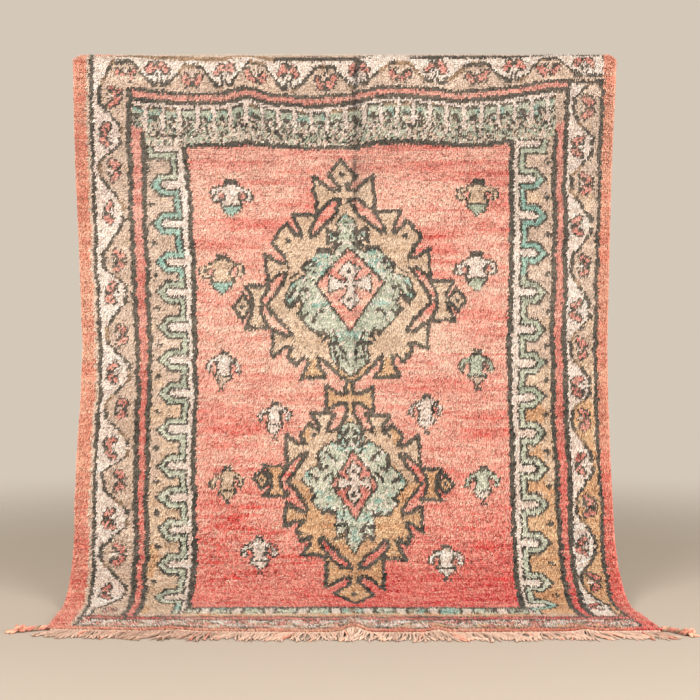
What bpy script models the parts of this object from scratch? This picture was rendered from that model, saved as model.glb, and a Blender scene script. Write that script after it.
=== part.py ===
"""Boujad rug, hung over a rod that does not show, its lower end lying out on the floor.

Metres, +Z up. The origin is the middle of the rod's axis, inside the fold at the top.
The pile faces -Y, and the lower end runs towards -Y along the floor.
"""

import math

import bmesh
import bpy
import numpy as np
from mathutils import Vector, noise

# Driving sizes of the rug
HALF_WIDTH = 0.870          # half the width along the rod
THICKNESS = 0.012           # foundation and pile together
FOLD_RADIUS = 0.015         # inside radius of the fold over the rod
FLAP = 0.052                # how far the turned-over end hangs down behind the rod
CREST_HEIGHT = 1.743        # top of the fold above the floor
CURVE_HEIGHT = 0.320        # height above the floor at which the cloth leaves the vertical
CURVE_REACH = 0.230         # how far forward that curve runs before it lies flat
FLOOR_RUN = 0.252           # flat length on the floor, down to the fringe
FRONT_BOW = 0.12            # share by which the floor run is longer where it reaches farthest
BOW_SIDE = 0.15             # where that is, from -1 at the left edge to 1 at the right
GAP = 0.0003                # between pieces that touch

FLOOR = FOLD_RADIUS + THICKNESS - CREST_HEIGHT
HALF_TURN = math.pi / 2 * (FOLD_RADIUS + THICKNESS / 2)
CURVE_START = HALF_TURN - (FLOOR + CURVE_HEIGHT)

# How far each side edge is drawn in from HALF_WIDTH, by distance from the crest along the cloth.
EDGES = (
    # from_crest, left, right
    (0.00, 0.000, 0.000),
    (0.37, 0.006, 0.014),
    (0.63, 0.018, 0.021),
    (0.95, 0.028, 0.028),
    (1.11, 0.022, 0.025),
    (1.27, 0.010, 0.019),
    (1.46, 0.002, 0.009),
    (1.65, 0.009, 0.007),
    (1.80, 0.012, -0.001),
    (1.95, 0.018, -0.014),
    (2.12, 0.031, -0.025),
)

# Ridges where the end of the rug doesn't lie quite flat.
RIDGES = (
    # across, height, half_width, length
    (0.026, 0.016, 0.022, 0.22),
    (0.259, 0.007, 0.016, 0.10),
    (0.675, 0.006, 0.018, 0.12),
    (-0.470, 0.004, 0.030, 0.12),
)

# Slow swells of the hanging cloth.
SWELLS = (
    # depth, waves_per_metre, phase, slant
    (0.0070, 1.25, 0.63, 0.5),
    (0.0028, 2.90, 0.00, 3.0),
)

CREASE_ACROSS = 0.034       # the soft centre crease, from having lain folded in half
CREASE_DEPTH = 0.010
CREASE_HALF_WIDTH = 0.022
CREASE_FADES = (0.35, 0.90)  # from the crest, where the crease grows shallow
CREASE_LEFT = 0.25          # share of its depth that is left below
CURL = 0.009                # how far the side edges turn back
CURL_WIDTH = 0.050
FOLDS_START = 0.11          # swells, crease and curl begin this far below the crest
FOLDS_GROW = 0.25           # and reach their full depth over this length
FOLDS_FADE = (1.45, 1.75)   # where the curve onto the floor smooths them out

# Fringe and corner cords
HEM_DEPTH = 0.010           # woven hem that holds the warp ends
HEM_THICKNESS = 0.006
STRANDS = 118
STRAND_SIDE = 0.985         # how far out the warp ends reach, of the rug's half width
STRAND_RADIUS = 0.0036
STRAND_LENGTH = 0.098
STRAND_UNEVEN = 0.18        # how much longer or shorter single strands are
STRAND_STEPS = 4
STRAND_TAPER = 0.45
STRAND_DROP = 0.45          # share of a strand's length over which it comes down to the floor

# Which way the warp ends lie: their angle from straight ahead, to the right, in radians.
SWEEP = (
    # side, angle
    (-1.00, -0.75),
    (-0.85, -0.50),
    (-0.50, -0.42),
    (0.00, -0.15),
    (0.30, 0.10),
    (0.60, 0.25),
    (0.85, 0.42),
    (1.00, 0.52),
)
SWEEP_DRIFT = 0.22          # how far neighbouring bunches stray from that

CORD_PLY_RADIUS = 0.0048
CORD_FULLNESS = 0.55        # how much wider two plies are than one
CORD_TWIST_PITCH = 0.040
CORD_BENDS = (0.10, 0.35)   # shares of its length between which it turns from the rug's side
CORD_SWAY = 0.25            # how far it wavers from its direction, in radians
CORD_STEPS = 18
CORD_SIDES = 10
KNOT = (0.013, 0.0105)      # half length and half width of the knot
KNOT_TURN = 0.2             # how far it is turned from the cord's direction
KNOT_RISE = 1.25            # its half height over the cord's
KNOT_REST = 0.97            # where its underside is flat, in half heights of the cord
KNOT_LUMPS = 0.10           # how uneven it is
LOOSE_FAN = 0.42            # angle between the loose ends past the knot

# Each corner cord: which corner, how far it turns to the front from straight out sideways,
# its length to the knot, and how long the loose ends past it are.
CORNER_CORDS = (
    # name, side, turn, length, loose
    ("corner_cord_left", -1, 0.46, 0.078, 0.032),
    ("corner_cord_right", 1, 0.92, 0.084, 0.022),
)

TWO_PI = 2 * math.pi
SQUARE = math.sqrt(2)       # a square tube's corner radius over its half thickness


def smooth(low, high, value):
    """0 below low, 1 above high, and an even slope between them."""
    share = min(max((value - low) / (high - low), 0.0), 1.0)
    return share * share * (3 - 2 * share)


def ellipse_table(steps=400):
    """Length along the curve onto the floor, against its angle from the vertical stretch."""
    angle = np.linspace(0, math.pi / 2, steps)
    across, down = CURVE_REACH * (1 - np.cos(angle)), CURVE_HEIGHT * np.sin(angle)
    length = np.concatenate([[0], np.cumsum(np.hypot(np.diff(across), np.diff(down)))])
    return length, angle


CURVE_LENGTHS, CURVE_ANGLES = ellipse_table()
FLAT_START = CURVE_START + CURVE_LENGTHS[-1]
CLOTH_END = FLAT_START + FLOOR_RUN
FLAP_END = -(HALF_TURN + FLAP)
EDGE_ROWS = np.array(EDGES).T


def across_at(side, along):
    """Distance from the middle, where side runs from -1 at the left edge to 1 at the right."""
    drawn_in = EDGE_ROWS[1] if side < 0 else EDGE_ROWS[2]
    return side * (HALF_WIDTH - float(np.interp(along, EDGE_ROWS[0], drawn_in)))


def profile(along, side):
    """(y, z) of the cloth's back face and the direction in which its pile points."""
    if along < -HALF_TURN:
        return (FOLD_RADIUS, along + HALF_TURN), (1, 0)
    if along < HALF_TURN:
        turn = along / (FOLD_RADIUS + THICKNESS / 2)
        out = (-math.sin(turn), math.cos(turn))
        return (FOLD_RADIUS * out[0], FOLD_RADIUS * out[1]), out
    if along < CURVE_START:
        return (-FOLD_RADIUS, HALF_TURN - along), (-1, 0)
    if along < FLAT_START:
        angle = float(np.interp(along - CURVE_START, CURVE_LENGTHS, CURVE_ANGLES))
        y = -FOLD_RADIUS - CURVE_REACH * (1 - math.cos(angle))
        z = FLOOR + CURVE_HEIGHT * (1 - math.sin(angle))
        out = Vector((-CURVE_HEIGHT * math.cos(angle), CURVE_REACH * math.sin(angle)))
        return (y, z), tuple(out.normalized())
    run = (along - FLAT_START) * (1 + FRONT_BOW * (1 - (side - BOW_SIDE) ** 2))
    return (-FOLD_RADIUS - CURVE_REACH - run, FLOOR), (0, 1)


def hollow(across, along, side):
    """How far the hanging cloth stands back (positive) from its plane."""
    hangs = smooth(FOLDS_START, FOLDS_START + FOLDS_GROW, along) * (1 - smooth(*FOLDS_FADE, along))
    swell = sum(
        depth * math.sin(TWO_PI * across * waves + phase + slant * along)
        for depth, waves, phase, slant in SWELLS
    )
    crease = CREASE_DEPTH * math.exp(-((across - CREASE_ACROSS) / CREASE_HALF_WIDTH) ** 2 / 2)
    crease *= 1 - (1 - CREASE_LEFT) * smooth(*CREASE_FADES, along)
    to_edge = abs(across_at(math.copysign(1, side), along)) - abs(across)
    curl = CURL * max(0.0, 1 - to_edge / CURL_WIDTH) ** 2
    return (swell + crease + curl) * hangs


def ridge(across, along):
    """How far the end of the rug stands off the floor."""
    height = 0.0
    for middle, tall, half_width, length in RIDGES:
        bump = math.exp(-((across - middle) / half_width) ** 2 / 2)
        height += tall * bump * smooth(CLOTH_END - length, CLOTH_END, along)
    return height


def place(side, along, lift=0.0):
    """A point of the back face, or one lifted off it towards the pile."""
    across = across_at(side, along)
    (y, z), (out_y, out_z) = profile(along, side)
    off = lift - hollow(across, along, side)
    return Vector((across, y + off * out_y, z + off * out_z + ridge(across, along)))


def spread(*stretches):
    """Ruler marks: each stretch is (start, end, number of steps), laid end to end."""
    marks = []
    for start, end, steps in stretches:
        marks += [start + (end - start) * k / steps for k in range(steps)]
    return marks + [stretches[-1][1]]


def sheet(name, sides, alongs, thickness, material):
    """A grid laid on the cloth's back face, thickened towards the pile."""
    mesh = bpy.data.meshes.new(name)
    work = bmesh.new()
    columns, rows = len(sides) - 1, len(alongs) - 1
    bmesh.ops.create_grid(work, x_segments=columns, y_segments=rows, size=1)
    for vertex in work.verts:
        side = sides[round((vertex.co.x + 1) / 2 * columns)]
        along = alongs[round((1 - vertex.co.y) / 2 * rows)]
        vertex.co = place(side, along)
    work.to_mesh(mesh)
    work.free()
    mesh.shade_smooth()
    mesh.materials.append(material)
    obj = bpy.data.objects.new(name, mesh)
    solid = obj.modifiers.new("thickness", "SOLIDIFY")
    solid.thickness = thickness
    solid.offset = 1
    solid.use_even_offset = True
    return obj


def wool(name, colour, roughness):
    """A plain woollen finish."""
    material = bpy.data.materials.new(name)
    material.use_nodes = True
    shader = material.node_tree.nodes["Principled BSDF"]
    shader.inputs["Base Color"].default_value = (*colour, 1)
    shader.inputs["Roughness"].default_value = roughness
    shader.inputs["Metallic"].default_value = 0
    return material


def strand_line(number):
    """The line of one warp end: out of the hem, down to the floor, and level along it."""
    side = STRAND_SIDE * (2 * (number + 0.5) / STRANDS - 1)
    root = place(side, CLOTH_END + HEM_DEPTH / 2, HEM_THICKNESS / 2)
    sides, angles = np.array(SWEEP).T
    drift = noise.noise(Vector((side * 7, 0.3, 1.7)))
    angle = float(np.interp(side, sides, angles)) + SWEEP_DRIFT * drift
    length = STRAND_LENGTH * (1 + STRAND_UNEVEN * noise.noise(Vector((number * 0.83, 4.1, 0))))
    points = []
    for step in range(STRAND_STEPS + 1):
        share = step / STRAND_STEPS
        bend = angle * (0.6 + 0.6 * share)
        rest = FLOOR + STRAND_RADIUS * (1 - STRAND_TAPER * share ** 2) / SQUARE
        x = root.x + length * share * math.sin(bend)
        y = root.y - length * share * math.cos(bend)
        z = rest + (root.z - rest) * (1 - smooth(0.0, STRAND_DROP, share))
        points.append((x, y, z))
    return points


def tubes(name, lines, taper):
    """Four-sided tubes along several lines, flat side down, as one mesh with welded caps."""
    curve = bpy.data.curves.new(name, "CURVE")
    curve.dimensions = "3D"
    curve.bevel_depth = STRAND_RADIUS
    curve.bevel_resolution = 0
    curve.use_fill_caps = True
    curve.twist_mode = "Z_UP"
    for line in lines:
        spline = curve.splines.new("POLY")
        spline.points.add(len(line) - 1)
        for index, (point, at) in enumerate(zip(spline.points, line)):
            point.co = (*at, 1)
            point.tilt = math.pi / 4
            point.radius = 1 - taper * (index / (len(line) - 1)) ** 2
    return meshed(name, curve)


def meshed(name, curve):
    """A curve's evaluated shape as a mesh object, its caps welded to its sides."""
    guide = bpy.data.objects.new(name + "_guide", curve)
    bpy.context.scene.collection.objects.link(guide)
    graph = bpy.context.evaluated_depsgraph_get()
    mesh = bpy.data.meshes.new_from_object(guide.evaluated_get(graph))
    obj = bpy.data.objects.new(name, mesh)
    obj.matrix_world = guide.matrix_world
    bpy.data.objects.remove(guide)
    work = bmesh.new()
    work.from_mesh(mesh)
    bmesh.ops.remove_doubles(work, verts=work.verts, dist=1e-5)
    bmesh.ops.recalc_face_normals(work, faces=work.faces)
    work.to_mesh(mesh)
    work.free()
    return obj


def add_union(body, other, helpers):
    """Joins other to body; other stays in the scene as a hidden helper."""
    other.hide_render = True
    other.display_type = "WIRE"
    helpers.objects.link(other)
    join = body.modifiers.new("join_" + other.name, "BOOLEAN")
    join.operation = "UNION"
    join.use_self = True
    join.object = other


def two_ply_section(name):
    """The outline of two plies side by side, to sweep along a cord."""
    outline = bpy.data.curves.new(name, "CURVE")
    outline.dimensions = "2D"
    spline = outline.splines.new("POLY")
    spline.points.add(CORD_SIDES - 1)
    for k, point in enumerate(spline.points):
        angle = TWO_PI * k / CORD_SIDES
        reach = CORD_PLY_RADIUS * (1 + CORD_FULLNESS * abs(math.cos(angle)))
        point.co = (reach * math.cos(angle), reach * math.sin(angle), 0, 1)
    spline.use_cyclic_u = True
    return bpy.data.objects.new(name, outline)


def twisted_cord(name, line, helpers):
    """Two plies swept along a line, turning about each other."""
    outline = two_ply_section(name + "_section")
    outline.hide_render = True
    helpers.objects.link(outline)
    curve = bpy.data.curves.new(name, "CURVE")
    curve.dimensions = "3D"
    curve.bevel_mode = "OBJECT"
    curve.bevel_object = outline
    curve.use_fill_caps = True
    curve.twist_mode = "Z_UP"
    spline = curve.splines.new("POLY")
    spline.points.add(len(line) - 1)
    for point, at in zip(spline.points, line):
        point.co = (*at, 1)
        point.tilt = TWO_PI * (at - line[0]).length / CORD_TWIST_PITCH
    return meshed(name, curve)


def knot(name, at, heading, half_height):
    """A lump with a flat underside where it lies on the floor."""
    mesh = bpy.data.meshes.new(name)
    work = bmesh.new()
    bmesh.ops.create_icosphere(work, subdivisions=2, radius=1)
    for vertex in work.verts:
        lump = 1 + KNOT_LUMPS * math.sin(5 * vertex.co.x + 3 * vertex.co.y)
        x, y, z = vertex.co * lump
        vertex.co = (x * KNOT[0], y * KNOT[1], max(KNOT_RISE * z, -KNOT_REST) * half_height)
    work.to_mesh(mesh)
    work.free()
    obj = bpy.data.objects.new(name, mesh)
    obj.location = at
    obj.rotation_euler.z = heading + KNOT_TURN
    return obj


def cord_line(side, turn, length, half_height):
    """The middle line of a corner cord: straight out of the rug's side, then to the front."""
    last = CLOTH_END - 2 * half_height
    reach = max(abs(place(side, along).x) for along in (last, CLOTH_END))
    at = place(side, CLOTH_END - half_height)
    at.x = side * (reach + GAP)
    at.z = FLOOR + half_height
    line = [at.copy()]
    for step in range(CORD_STEPS):
        share = step / CORD_STEPS
        angle = (turn + CORD_SWAY * math.sin(TWO_PI * share)) * smooth(*CORD_BENDS, share)
        at += Vector((side * math.cos(angle), -math.sin(angle), 0)) * length / CORD_STEPS
        line.append(at.copy())
    return line


def corner_cord(name, side, turn, length, loose, material, helpers):
    """The twisted end of the side edging, knotted, with three loose ends past the knot."""
    half_height = CORD_PLY_RADIUS * (1 + CORD_FULLNESS)
    line = cord_line(side, turn, length, half_height)
    cord = twisted_cord(name, line, helpers)
    cord.data.materials.append(material)

    forward = line[-1] - line[-2]
    heading = math.atan2(forward.y, forward.x)
    add_union(cord, knot(name + "_knot", line[-1], heading, half_height), helpers)
    ends = []
    for fan in (-LOOSE_FAN, 0.0, LOOSE_FAN):
        way = Vector((math.cos(heading + fan), math.sin(heading + fan), 0))
        root = line[-1] + way * KNOT[1] * 0.6
        tip = root + way * loose
        tip.z = FLOOR + STRAND_RADIUS / SQUARE
        ends.append((root, tip))
    add_union(cord, tubes(name + "_ends", ends, 0.0), helpers)
    return cord


def rug(material):
    """The knotted cloth: flap, fold, hanging length, curve and floor run in one solid."""
    sides = spread((-1, -0.93, 2), (-0.93, 0.0, 13), (0.0, 0.08, 4), (0.08, 0.93, 11), (0.93, 1, 2))
    alongs = spread(
        (FLAP_END, -HALF_TURN, 2),
        (-HALF_TURN, HALF_TURN, 8),
        (HALF_TURN, CURVE_START, 13),
        (CURVE_START, FLAT_START, 9),
        (FLAT_START, CLOTH_END, 5),
    )
    return sheet("rug", sides, alongs, THICKNESS, material)


def fringe(material, helpers):
    """The hem at the end of the rug and the warp ends that it holds."""
    sides = spread((-0.99, 0.0, 16), (0.0, 0.08, 4), (0.08, 0.99, 16))
    hem_start = CLOTH_END + GAP
    hem = sheet("fringe", sides, [hem_start, hem_start + HEM_DEPTH], HEM_THICKNESS, material)
    lines = [strand_line(number) for number in range(STRANDS)]
    add_union(hem, tubes("warp_ends", lines, STRAND_TAPER), helpers)
    return hem


def main():
    for obj in list(bpy.data.objects):
        bpy.data.objects.remove(obj)
    parts = bpy.data.collections.new("boujad_rug")
    helpers = bpy.data.collections.new("helpers")
    for collection in (parts, helpers):
        bpy.context.scene.collection.children.link(collection)

    pile = wool("coral_pile", (0.74, 0.27, 0.19), 0.95)
    undyed = wool("undyed_warp", (0.68, 0.50, 0.38), 0.9)
    edging = wool("edging_cord", (0.55, 0.24, 0.17), 0.9)

    parts.objects.link(rug(pile))
    parts.objects.link(fringe(undyed, helpers))
    for row in CORNER_CORDS:
        parts.objects.link(corner_cord(*row, edging, helpers))


main()
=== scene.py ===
"""A boujad rug in Blender: tufted pile, knotted back, bound edges, twisted fringe and corner cords.

The design is laid out in knots, counted across from the left edge and along from the crest.
"""

import math

import bpy
import numpy as np
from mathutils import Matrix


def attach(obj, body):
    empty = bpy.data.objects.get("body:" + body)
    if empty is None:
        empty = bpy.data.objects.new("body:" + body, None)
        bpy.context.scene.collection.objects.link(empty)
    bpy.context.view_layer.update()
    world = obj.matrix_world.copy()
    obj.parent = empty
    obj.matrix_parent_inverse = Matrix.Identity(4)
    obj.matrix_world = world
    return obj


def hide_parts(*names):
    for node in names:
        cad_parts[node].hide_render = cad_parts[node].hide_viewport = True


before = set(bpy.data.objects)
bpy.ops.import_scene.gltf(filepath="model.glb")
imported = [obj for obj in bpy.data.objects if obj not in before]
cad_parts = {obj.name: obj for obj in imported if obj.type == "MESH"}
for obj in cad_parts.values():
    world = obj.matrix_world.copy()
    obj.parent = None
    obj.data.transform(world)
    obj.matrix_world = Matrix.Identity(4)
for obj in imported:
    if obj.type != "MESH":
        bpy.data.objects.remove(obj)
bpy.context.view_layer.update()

# The hang of the cloth, in metres, as in the solids
HALF_WIDTH = 0.870
THICKNESS = 0.012
FOLD_RADIUS = 0.015
FLAP = 0.052
CREST_HEIGHT = 1.743
CURVE_HEIGHT = 0.320
CURVE_REACH = 0.230
FLOOR_RUN = 0.252
FRONT_BOW = 0.12
BOW_SIDE = 0.15
FLOOR = FOLD_RADIUS + THICKNESS - CREST_HEIGHT
HALF_TURN = math.pi / 2 * (FOLD_RADIUS + THICKNESS / 2)
CURVE_START = HALF_TURN - (FLOOR + CURVE_HEIGHT)
EDGES = np.array((
    # from_crest, left, right
    (0.00, 0.000, 0.000),
    (0.37, 0.006, 0.014),
    (0.63, 0.018, 0.021),
    (0.95, 0.028, 0.028),
    (1.11, 0.022, 0.025),
    (1.27, 0.010, 0.019),
    (1.46, 0.002, 0.009),
    (1.65, 0.009, 0.007),
    (1.80, 0.012, -0.001),
    (1.95, 0.018, -0.014),
    (2.12, 0.031, -0.025),
))
RIDGES = (
    # across, height, half_width, length
    (0.026, 0.016, 0.022, 0.22),
    (0.259, 0.007, 0.016, 0.10),
    (0.675, 0.006, 0.018, 0.12),
    (-0.470, 0.004, 0.030, 0.12),
)
SWELLS = (
    # depth, waves_per_metre, phase, slant
    (0.0070, 1.25, 0.63, 0.5),
    (0.0028, 2.90, 0.00, 3.0),
)
CREASE_ACROSS = 0.034
CREASE_DEPTH = 0.010
CREASE_HALF_WIDTH = 0.022
CREASE_FADES = (0.35, 0.90)
CREASE_LEFT = 0.25
CURL = 0.009
CURL_WIDTH = 0.050
FOLDS_START = 0.11
CORNER_DROP = 0.012
CORNER_SPAN = (0.968, 1.0)
CORNER_RUN = (0.0, 0.06)
FOLDS_GROW = 0.25
FOLDS_FADE = (1.45, 1.75)

# The pile
PILE_ROOT = 0.0055          # height of the tufts' roots over the cloth's back
PILE_TIP = 0.0125           # height of their tips
PILE_LEAN = 0.0055          # how far the tips hang down the rug
PILE_STRAY = 0.0016         # how far they stray to either side
BRUSHED = 0.0034            # how far the pile is brushed to the left
WIDE_CLUMPS = 0.0026        # how far wide clumps of tufts turn aside together
SMALL_CLUMPS = 0.0018       # how far small ones do
LEAN_STRAY = 0.0018
TIP_CLUMPS = 0.0012
TIP_STRAY = 0.0014
TIP_LIMIT = 0.004           # how far a tip may stand over the rest
ROOT_STRAY = 0.0008
ROOT_SLIP = 0.0014
BRICK = 0.0016              # how far neighbouring tufts are set up and down
FRAY = 0.24                 # how far yarns stray over the lines of the design, in knots
CREASE_PAINTED_SHADE = 0.58         # how much painted shade darkens the pile along the crease
CREASE_LINE = 0.0045        # half width of the painted dark line of shade itself
CREASE_SIDE = (0.012, 0.014)        # place and half width of the painted shade to its right
PANELS = 4
UNDERSIDES_HIDDEN = (0.03, 1.62)    # the stretch where the tufts hang straight down

# The design
KNOT = 0.0064
ACROSS = 272
FIELD_TOP = 45.0
FIELD_END = 286.4
NEVER_WARM = -9.0           # keeps a beige ground beige all the way down

TWO_PI = 2 * math.pi

YARNS = (
    # name, full colour, faded colour
    ("coral", (229, 125, 113), (253, 209, 189)),
    ("crimson", (216, 82, 84), (250, 170, 152)),
    ("salmon", (214, 127, 107), (237, 179, 154)),
    ("red", (212, 114, 103), (232, 168, 152)),
    ("cream", (229, 207, 193), (252, 235, 224)),
    ("beige", (204, 177, 156), (230, 207, 189)),
    ("sand", (208, 178, 150), (238, 212, 188)),
    ("ochre", (208, 161, 122), (236, 199, 161)),
    ("charcoal", (72, 70, 64), (128, 118, 106)),
    ("sage", (170, 181, 160), (218, 219, 200)),
    ("teal", (136, 180, 168), (190, 212, 198)),
    ("brown", (136, 112, 90), (190, 162, 134)),
    ("undyed", (165, 131, 113), (213, 183, 164)),
    ("rose", (208, 125, 113), (242, 184, 168)),
)
(
    CORAL, CRIMSON, SALMON, RED, CREAM, BEIGE, SAND, OCHRE, CHARCOAL, SAGE, TEAL, BROWN, UNDYED, ROSE,
) = range(len(YARNS))

# Lines of the two side borders: how many knots in from the edge each runs.
LEFT_LINES = np.array((
    # along, guard, vine_inner, stripe_inner, cream_edge, field_edge
    (0, 8.8, 27.7, 34.8, 50.5, 55.0),
    (48, 9.4, 27.7, 34.8, 52.3, 55.8),
    (58, 9.2, 27.7, 34.8, 52.8, 57.0),
    (98, 8.9, 27.6, 34.7, 54.4, 58.5),
    (138, 9.3, 28.4, 35.0, 55.2, 58.5),
    (173, 10.4, 30.0, 35.9, 56.2, 59.5),
    (213, 10.2, 31.0, 36.5, 57.1, 60.2),
    (253, 10.6, 31.9, 37.1, 58.0, 61.1),
    (283, 12.5, 32.2, 37.6, 58.1, 60.9),
)).T
RIGHT_LINES = np.array((
    # along, guard, vine_inner, stripe_inner, cream_edge, field_edge
    (0, 7.0, 23.8, 29.3, 48.8, 51.4),
    (73, 6.7, 23.5, 29.1, 47.4, 51.0),
    (123, 6.5, 22.6, 28.8, 46.4, 50.9),
    (198, 6.3, 21.6, 28.2, 47.0, 50.9),
    (243, 6.3, 22.3, 27.9, 46.9, 50.4),
    (283, 7.6, 22.6, 28.2, 49.2, 51.6),
)).T
LEFT_TEETH = (47, 65, 84.5, 104, 119, 136.5, 153, 170, 187.5, 205.5, 221.5, 238, 255.4, 275.4)
RIGHT_TEETH = (45, 63, 81, 99.5, 119.5, 138.5, 155, 172, 190, 207.5, 225.5, 245, 266.4, 283)
LEFT_BLOOMS = (-8, 21.5, 40.5, 57.5, 79, 103, 119.5, 140, 159, 177.5, 196.5, 213, 232, 250, 272, 292)
RIGHT_BLOOMS = (8, 26, 46, 65, 86, 106.5, 128.5, 147.5, 166.5, 183, 205.5, 226.5, 246.5, 266.4, 286)
TOP_BLOOMS = (25.5, 42.5, 59.5, 76, 92, 108, 126, 143.6, 163.7, 181.6, 202.3, 220.7, 238.4, 256)
END_BLOOMS = tuple(range(18, 262, 17))

# How far the rows of the top borders sag below a straight line, by knots across.
SAG = np.array((
    (0, -1.5), (27, -1.2), (53, 1.8), (75, 2.3), (86, -0.7), (98, 1.8), (120, 3.3), (139, 2.6),
    (153, -1.2), (172, -1.2), (195, 1.6), (211, -0.4), (228, -2.7), (245, -5.0), (272, -4.6),
)).T

# The weaver's middle line drifts to the right down the rug.
MIDDLE = np.array((
    (54, 134.7), (63, 135.2), (80, 136.9), (110, 138.4), (165, 139.0), (180, 139.3),
    (200, 140.3), (215, 141.0), (281, 141.0),
)).T

BLOOM = (
    "...kkk.kkk...",
    "..krrkkkrrk..",
    ".krrrkkkrrrk.",
    ".krkrrkrrkrk.",
    "krrrkkwkkrrrk",
    "krrkk.w.kkrrk",
    ".kkk.kwk.kkk.",
    ".....kwk.....",
    ".kwwwkwkwwwk.",
    ".kkwwkwkwwkk.",
    "...kkkwkkk...",
)
BLOOM_HEAD = BLOOM[6::-1]
WIDE_MOTIF = (
    "......kkkkk......",
    "......kkkkk......",
    "......kkkkk......",
    ".....kkwwwkk.....",
    "...kkwwwwwwwkk...",
    ".kkwwwwwwwwwwwkk.",
    "kwwwkwwwwwwwkkwwk",
    "kwkkrkwwwwwkkrkwk",
    "kwkrrkwwwwwkrrkwk",
    "kwwkrkwwwwwkrrkwk",
    "kwwwkkwwwwwk.kwwk",
    ".kkkkwwwwwwwk.kk.",
    "....kwwwwwwwk....",
    "....kkkkkkkkk....",
    "....kgggggggk....",
    ".....kgggggk.....",
    ".....kgggggk.....",
    "......kgggk......",
    ".......kgk.......",
    "........k........",
)
TALL_MOTIF = (
    ".......kkkk......",
    ".......kkkk......",
    "......kkwwkk.....",
    "....kkwwwwwwkk...",
    "..kkwwwwwwwwwkk..",
    ".kwwwkwwwwwkkwwk.",
    "kwwkkkwwwwwkkkwwk",
    "kwk.rkwwwwwkrrkwk",
    "kwk..kwwwwwkkrkwk",
    "kwk.rkwwwwwk.kwwk",
    ".kk..kwwwwwk..kk.",
    "....kwwwwwwwk....",
    "....kkkkkkkkk....",
    "....kgggggggk....",
    ".....kgggggk.....",
    "......kgggk......",
    ".......kgk.......",
    "........k........",
    ".......kkk.......",
    ".......k.k.......",
)
FIELD_MOTIFS = (
    # across, along, stretch, chart, body, foot
    (78.7, 72.5, 1.24, WIDE_MOTIF, CREAM, TEAL),
    (73.0, 110.0, 1.38, WIDE_MOTIF, SAND, TEAL),
    (73.7, 158.5, 1.12, TALL_MOTIF, CREAM, BEIGE),
    (100.4, 182.5, 1.02, TALL_MOTIF, CREAM, CREAM),
    (77.0, 216.0, 1.05, TALL_MOTIF, SAND, SAND),
    (93.7, 251.5, 1.12, TALL_MOTIF, CREAM, CREAM),
    (203.7, 72.0, 1.28, WIDE_MOTIF, SAND, SAGE),
    (203.4, 109.0, 1.26, WIDE_MOTIF, CREAM, SAGE),
    (204.0, 158.0, 1.12, TALL_MOTIF, SAGE, BEIGE),
    (178.2, 180.5, 1.02, TALL_MOTIF, CREAM, CREAM),
    (206.3, 216.0, 1.05, TALL_MOTIF, SAGE, CREAM),
    (186.7, 256.0, 1.08, TALL_MOTIF, CREAM, CREAM),
)

# Right halves of the two medallions, in knots from their middle line and along the rug.
FAR = -9                    # where a half outline closes, past the middle line
UPPER_BODY = (
    (FAR, 66), (1.9, 66), (2.1, 74), (6.6, 81), (16, 89.5), (20, 90.5), (22.5, 90.5), (26.8, 89.5),
    (30.8, 84), (38, 93.2), (31.3, 102.5), (31.5, 108.5), (42.3, 124.7), (29.7, 138.5), (30, 146),
    (31.8, 149.5), (28, 154.5), (24.4, 151), (19, 151.5), (15.5, 151.5), (2.2, 164), (FAR, 164),
)
UPPER_GREEN = (
    (FAR, 79), (0.5, 79), (5, 84), (4, 89), (10, 86.5), (10.5, 95), (6, 93), (7, 99), (15, 97.5),
    (18, 101), (24, 106.5), (21.5, 110), (30.5, 113.5), (34, 122.5), (30, 124.5), (26, 118.5),
    (25, 126), (28, 129), (22.5, 134), (15, 141), (13, 137.5), (9.5, 143), (9.5, 154),
    (0.5, 161.5), (FAR, 161.5),
)
LOWER_BODY = (
    (FAR, 160), (1.8, 160), (1.8, 180), (6.5, 188), (12.5, 189), (17, 189), (21.5, 185.5),
    (26.3, 191), (23.5, 195.5), (23.5, 200.5), (33.5, 214.3), (24, 228), (26, 235), (29, 240),
    (26.5, 245), (22.2, 242.3), (19, 243), (15.2, 243), (3.5, 254), (2.2, 256), (2, 266),
    (9, 273.5), (0.5, 280.6), (FAR, 280.6),
)
LOWER_GREEN = (
    (FAR, 184), (0.5, 184), (5, 186), (7, 192), (4.5, 196), (9.5, 193.5), (14.5, 197),
    (19, 201.5), (18.5, 206.5), (24, 210), (27, 215), (21, 219.5), (22, 225), (15.5, 230.5),
    (9.5, 229), (10, 236), (9.5, 241.5), (4.5, 238.5), (4, 244), (0.5, 249.5), (FAR, 249.5),
)
UPPER_FANS = (
    # neck_out, neck_along, way_out, way_along, depth, half, neck
    (21.2, 92.0, 0, -1, 12.4, 6.6, 2.5),
    (31.5, 106.0, 1, 0, 10.4, 7.0, 2.9),
    (29.5, 142.3, 1, 0, 10.4, 6.8, 2.9),
    (19.0, 151.0, 0, 1, 10.4, 6.4, 2.6),
    (1.5, 70.3, 1, 0, 13.4, 9.4, 2.3),
    (47.5, 124.7, 0, -1, 10.2, 6.2, 2.6),
    (47.5, 124.7, 0, 1, 10.2, 6.2, 2.6),
)
LOWER_FANS = (
    # neck_out, neck_along, way_out, way_along, depth, half, neck
    (1.5, 172.5, 1, 0, 10.6, 6.4, 2.3),
    (14.2, 189.5, 0, -1, 9.2, 6.4, 2.5),
    (23.0, 198.2, 1, 0, 10.6, 7.7, 2.6),
    (25.5, 232.0, 1, 0, 9.0, 6.4, 2.6),
    (19.5, 242.5, 0, 1, 9.6, 6.4, 2.5),
    (1.5, 260.3, 1, 0, 12.4, 9.6, 2.6),
    (39.3, 214.3, 0, -1, 8.0, 5.6, 2.4),
    (39.3, 214.3, 0, 1, 8.0, 5.6, 2.4),
)
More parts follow.
